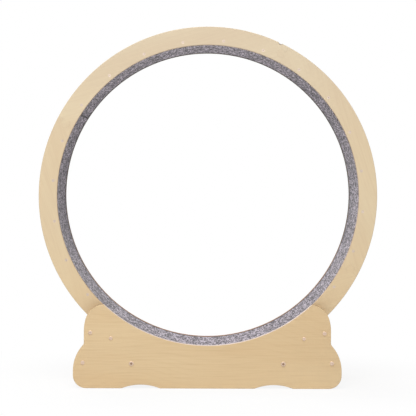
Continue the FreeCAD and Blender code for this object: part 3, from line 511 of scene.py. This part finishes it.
low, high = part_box("carpet_strip")
strip_half = (high.y - low.y) / 2
strip_radii = [(vertex.co - wheel_axis).xz.length for vertex in nodes["carpet_strip"].data.vertices]
strip_inner, strip_outer = min(strip_radii), max(strip_radii)
seam_half = SEAM_HALF_GAP / strip_inner
start, sweep = SEAM_ANGLE + seam_half, 2 * math.pi - 2 * seam_half
long_steps = round(sweep * strip_inner / CARPET_STEP)
wide_steps = round(2 * strip_half / CARPET_STEP)


def pile(point):
    """How far the loops stand out from the strip's mean face here, from -1 to 1."""
    tufts = noise.noise(point * TUFTS_PER_METRE)
    dips = noise.noise(point * DIPS_PER_METRE + Vector((5.0, 0, 0)))
    return max(-1.0, min(1.0, 0.9 * tufts + 0.7 * dips))


vertices, faces = [], []
for step in range(long_steps + 1):
    outward, onward = turned(start + sweep * step / long_steps)
    for across in range(wide_steps + 1):
        depth = -strip_half + 2 * strip_half * across / wide_steps
        base = wheel_axis + outward * strip_inner + Vector((0, depth, 0))
        stand = pile(base)
        if across in (0, wide_steps):
            stand = 1.0 + 0.8 * stand
        vertices.append(base + outward * PILE_HEIGHT * stand)
row = wide_steps + 1
back = len(vertices)
for step in range(long_steps + 1):
    outward, onward = turned(start + sweep * step / long_steps)
    for depth in (-strip_half, strip_half):
        vertices.append(wheel_axis + outward * strip_outer + Vector((0, depth, 0)))
for step in range(long_steps):
    here, after = step * row, (step + 1) * row
    for across in range(wide_steps):
        faces.append((here + across, here + across + 1, after + across + 1, after + across))
    under, under_after = back + step * 2, back + (step + 1) * 2
    faces.append((under, under_after, under_after + 1, under + 1))
    faces.append((here, after, under_after, under))
    faces.append((here + wide_steps, under + 1, under_after + 1, after + wide_steps))
last, last_back = long_steps * row, back + long_steps * 2
faces.append(list(range(row))[::-1] + [back, back + 1])
faces.append([last + across for across in range(row)] + [last_back + 1, last_back])

felt = Finish("grey_carpet", Roughness=0.95, Sheen_Weight=0.25, Sheen_Roughness=0.6)
place = felt.place()
laid = felt.add("ShaderNodeVectorMath", {"operation": "MULTIPLY"},
                {0: place, 1: FLECK_STRETCH}, "Vector")
flecks = felt.noise(laid, 135.0, 2.0, 0.6)
specks = felt.noise(laid, 250.0, 2.0, 0.6)
grains = felt.noise(place, 420.0, 3.0, 0.6)
patches = felt.noise(laid, 60.0)
grey = felt.blend(GREY_DARK, GREY_PALE, felt.ramp(flecks, 0.45, 0.55))
grey = felt.blend(grey, SPECK_DARK, felt.ramp(specks, 0.53, 0.58) * 0.9)
grey = felt.blend(grey, SPECK_PALE, felt.ramp(specks, 0.47, 0.42) * 0.85)
grey = felt.blend(grey, PATCH_GREY, felt.ramp(patches, 0.52, 0.62) * 0.55)
grey = felt.blend(grey, GRAIN_GREY, felt.ramp(grains, 0.3, 0.7) * 0.12)
felt.feed(felt.shader, {"Base Color": grey})

# The seam is a dark line, the far edge lies in the ring's shade, which is painted shade, and
# the two sides of the bottom are painted a little darker, as painted shade.
seam_out, seam_on = turned(SEAM_ANGLE)
from_seam = abs(felt.dot(place, seam_on) - wheel_axis.dot(seam_on))
seam_side = felt.dot(place, seam_out) > wheel_axis.dot(seam_out)
felt.stain(SEAM_GREY, felt.ramp(from_seam, 0.004, 0.0008) * seam_side * (0.6 + flecks * 0.8))
far_edge = felt.ramp(felt.dot(place, Y), strip_half - 0.032, strip_half - 0.006)
felt.stain(SHADED_EDGE, far_edge * 0.8)
# Painted shade: the two sides of the bottom, below the axis, are a little darker.
aside, up = abs(felt.dot(place, X)), felt.dot(place, Z) - wheel_axis.z
felt.stain(SIDE_SHADE_GREY, felt.ramp(aside, 0.1, 0.26) * felt.ramp(up, 0.1, -0.1) * 0.16)
loops = felt.add("ShaderNodeTexVoronoi", {"feature": "F1"},
                 {"Vector": place, "Scale": LOOPS_PER_METRE})
felt.bump(felt.ramp(loops, 0.5, 0.0) + flecks * 0.8 + grains * 0.6, LOOP_DEPTH, 0.8)

carpet = mesh_piece("carpet_lining", vertices, faces, "wheel", felt, 60.0)
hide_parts("carpet_strip")
strip_length = sweep * (strip_inner + strip_outer) / 2


# ------------------------------------------------------------------ rollers
# The wheel runs on four rollers. Each has a black rubber tyre on a moulded grey hub, with a
# shielded ball bearing pressed into either face of the hub.

TREAD_FROM, TREAD_TO = 0.0360, 0.0372
SHIELD_INNER, SHIELD_OUTER, SHIELD_STEP = 0.0058, 0.0094, 0.0004
MOULD_RINGS, LATHE_RINGS = 9000.0, 26000.0
axle_x = abs(frame["joints"][1]["pos_m"][0])
axle_z = frame["joints"][1]["pos_m"][2]


def from_axle(finish):
    """Distance from the nearer axle's centre line."""
    place = finish.place()
    across = abs(finish.dot(place, X)) - axle_x
    up = finish.dot(place, Z) - axle_z
    return finish.root(across * across + up * up)


rubber = Finish("tyre_rubber", IOR=1.5)
grain = rubber.noise(rubber.place(), 1300.0, 3.0, 0.6)
dust = rubber.noise(rubber.place(), 80.0, 4.0, 0.6)
tread = rubber.ramp(from_axle(rubber), TREAD_FROM, TREAD_TO)
dusty = rubber.blend(rgb(38, 38, 40), rgb(58, 57, 57), rubber.ramp(dust, 0.4, 0.75))
rubber.feed(rubber.shader, {
    "Base Color": rubber.blend(dusty, rgb(74, 72, 70), tread * 0.55),
    "Roughness": 0.62 + tread * 0.12 + grain * 0.14,
})
rubber.bump(grain, 0.0002, 0.6)

moulding = Finish("hub_moulding", IOR=1.5)
skin = moulding.noise(moulding.place(), 900.0)
flow = moulding.noise(moulding.place(), 45.0)
rings = moulding.sine(from_axle(moulding) * MOULD_RINGS)
clouded = moulding.ramp(flow, 0.3, 0.7)
moulding.feed(moulding.shader, {
    "Base Color": moulding.blend(rgb(168, 170, 173), rgb(152, 154, 158), clouded),
    "Roughness": 0.42 + skin * 0.15,
})
moulding.bump(skin + rings * 0.25, 0.00012, 0.5)

bearing = Finish("bearing_steel", Metallic=1.0)
away = from_axle(bearing)
smudge = bearing.noise(bearing.place(), 260.0, 3.0)
shield = (bearing.ramp(away, SHIELD_INNER, SHIELD_INNER + SHIELD_STEP)
          * bearing.ramp(away, SHIELD_OUTER, SHIELD_OUTER - SHIELD_STEP))
bearing.feed(bearing.shader, {
    "Base Color": bearing.blend(rgb(206, 206, 208), rgb(160, 158, 154), shield),
    "Roughness": 0.2 + smudge * 0.12 + shield * 0.16,
})
bearing.bump(bearing.sine(away * LATHE_RINGS), 0.00003, 0.4)

for corner in ("front_left", "front_right", "rear_left", "rear_right"):
    wear("tyre_" + corner, rubber)
    wear("hub_" + corner, moulding)
    wear("bearings_" + corner, bearing)


# ------------------------------------------------------------------ axles and their nuts
# Two 8 mm steel rods run from panel to panel, with tubes between the rollers. Nickel-plated
# sleeve nuts close their ends, and each sleeve seats in its panel.

NUT_SOCKET_RADIUS, NUT_SOCKET_BLUR = 0.0037, 0.0003
NUT_FACE, NUT_SHADE = 0.0002, 0.0012

bright = metal("bright_rod", rgb(196, 198, 200), rgb(178, 180, 184), 0.22, 1500.0)
for name in ("axle_left", "axle_right"):
    wear(name, bright)
wear("axle_spacers", zinc)

capped = metal("nickel_cap_nut", rgb(220, 197, 177), rgb(209, 186, 166), 0.3)
low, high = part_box("axle_cap_nuts")
# The hex socket in each nut's end is painted darker: painted shade in the recess.
sunk = capped.ramp(abs(capped.dot(capped.place(), Y)), high.y - NUT_FACE, high.y - NUT_SHADE)
socket_shade_mask = capped.ramp(from_axle(capped), NUT_SOCKET_RADIUS, NUT_SOCKET_RADIUS - NUT_SOCKET_BLUR)
capped.stain(rgb(160, 132, 112), sunk * socket_shade_mask)
wear("axle_cap_nuts", capped)


# ------------------------------------------------------------------ connector bolts
# Eight flat-headed furniture bolts go through the panels into cross nuts that lie in the end
# boards. The bolts are nickel-plated and take a hexagon key.

nickel = metal("nickel_plating", rgb(222, 199, 180), rgb(213, 190, 171), 0.3)
wear("connector_bolts", nickel)
wear("barrel_nuts", zinc)


# ------------------------------------------------------------------ side guides
# Four white nylon discs are screwed to the inside of the panels, close to the rings, and keep
# the wheel from drifting to the front or the rear.

nylon = Finish("white_nylon", IOR=1.5, Subsurface_Weight=0.1, Subsurface_Scale=0.004)
haze = nylon.noise(nylon.place(), 60.0, 3.0)
lathe_marks = nylon.noise(nylon.place(), 1100.0)
nylon.feed(nylon.shader, {
    "Base Color": nylon.blend(rgb(232, 229, 220), rgb(219, 215, 204), nylon.ramp(haze, 0.35, 0.7)),
    "Roughness": 0.36 + lathe_marks * 0.16,
})
nylon.bump(lathe_marks, 0.00008, 0.5)
wear("side_guides", nylon)
wear("guide_screws", nickel)


# ------------------------------------------------------------------ studio
# The wheel stands on a plain white floor that runs on into a white background, under soft
# light from above, a wide key from the front and a fill from behind.

FLOOR_RADIUS, FLOOR_STEP = 9.0, 5
FLOOR_PALE, FLOOR_SHADE = rgb(244, 244, 244), rgb(240, 240, 240)
GLOW_NEAR, NEAR_TO, FAR_FROM = 0.88, 0.4, 0.9
WHITE, DIFFUSE_SKY = (1, 1, 1, 1), (0.2, 0.2, 0.202, 1)
LIGHTS_AIM = (0, 0, 0.3)
LENS, SENSOR_WIDTH = 136.68, 36.0
CAMERA_PLACE = (-0.0203, -4.395, 0.563)
PITCH_DOWN, YAW_RIGHT, ROLL = math.radians(1.075), math.radians(0.275), math.radians(0.25)


def seen(maker):
    """1 for what the camera sees, straight, mirrored in metal or through glass."""
    straight, mirrored, through = [maker.add("ShaderNodeLightPath", output=ray) for ray in (
        "Is Camera Ray", "Is Glossy Ray", "Is Transmission Ray")]
    return straight.work("MAXIMUM", straight.work("MAXIMUM", straight, mirrored), through)


paper = Finish("white_floor", Roughness=0.9, Specular_IOR_Level=0.1)
fibres = paper.noise(paper.place(), 40.0, 3.0)
paper.feed(paper.shader, {"Base Color": paper.blend(FLOOR_PALE, FLOOR_SHADE, fibres)})
away = paper.add("ShaderNodeVectorMath", {"operation": "LENGTH"}, {0: paper.place()}, "Value")
lit = seen(paper) * (GLOW_NEAR + paper.ramp(away, NEAR_TO, FAR_FROM) * (1 - GLOW_NEAR))
glow = paper.add("ShaderNodeEmission", {}, {"Color": WHITE})
paper.feed(paper.output, {0: paper.add(
    "ShaderNodeMixShader", {}, {0: lit, 1: Value(paper, paper.shader.outputs[0]), 2: glow})})

mesh = bpy.data.meshes.new("floor")
turns = [math.radians(angle) for angle in range(0, 360, FLOOR_STEP)]
rim = [(FLOOR_RADIUS * math.cos(turn), FLOOR_RADIUS * math.sin(turn), 0) for turn in turns]
mesh.from_pydata(rim, [], [list(range(len(rim)))])
mesh.materials.append(paper.material)
floor = bpy.data.objects.new("floor", mesh)
bpy.context.scene.collection.objects.link(floor)

world = bpy.data.worlds.new("studio")
bpy.context.scene.world = world
world.use_nodes = True
sky = Maker(world.node_tree)
sky.feed(world.node_tree.nodes["Background"], {"Color": sky.blend(DIFFUSE_SKY, WHITE, seen(sky))})


def softbox(name, place, size, power):
    """A square lamp that shines on the wheel's lower half."""
    lamp = bpy.data.lights.new(name, "AREA")
    lamp.shape = "RECTANGLE"
    lamp.size, lamp.size_y, lamp.energy = size, size, power
    holder = bpy.data.objects.new(name, lamp)
    holder.location = place
    aim = Vector(LIGHTS_AIM) - Vector(place)
    holder.rotation_euler = aim.to_track_quat("-Z", "Y").to_euler()
    bpy.context.scene.collection.objects.link(holder)


softbox("overhead", (-0.9, -0.2, 3.2), 3.0, 30.0)
softbox("front_key", (-0.2, -2.7, 3.3), 2.4, 110.0)
softbox("back_fill", (-1.4, 3.0, 3.0), 2.4, 66.0)

lens = bpy.data.cameras.new("camera")
lens.lens = LENS
lens.sensor_width = SENSOR_WIDTH
camera = bpy.data.objects.new("camera", lens)
camera.matrix_world = (Matrix.Translation(CAMERA_PLACE)
                       @ Matrix.Rotation(-YAW_RIGHT, 4, "Z")
                       @ Matrix.Rotation(math.pi / 2 - PITCH_DOWN, 4, "X")
                       @ Matrix.Rotation(ROLL, 4, "Z"))
bpy.context.scene.collection.objects.link(camera)
bpy.context.scene.camera = camera
bpy.context.scene.view_settings.view_transform = "Standard"


def corners(box):
    return [[float(number) for number in corner] for corner in box]
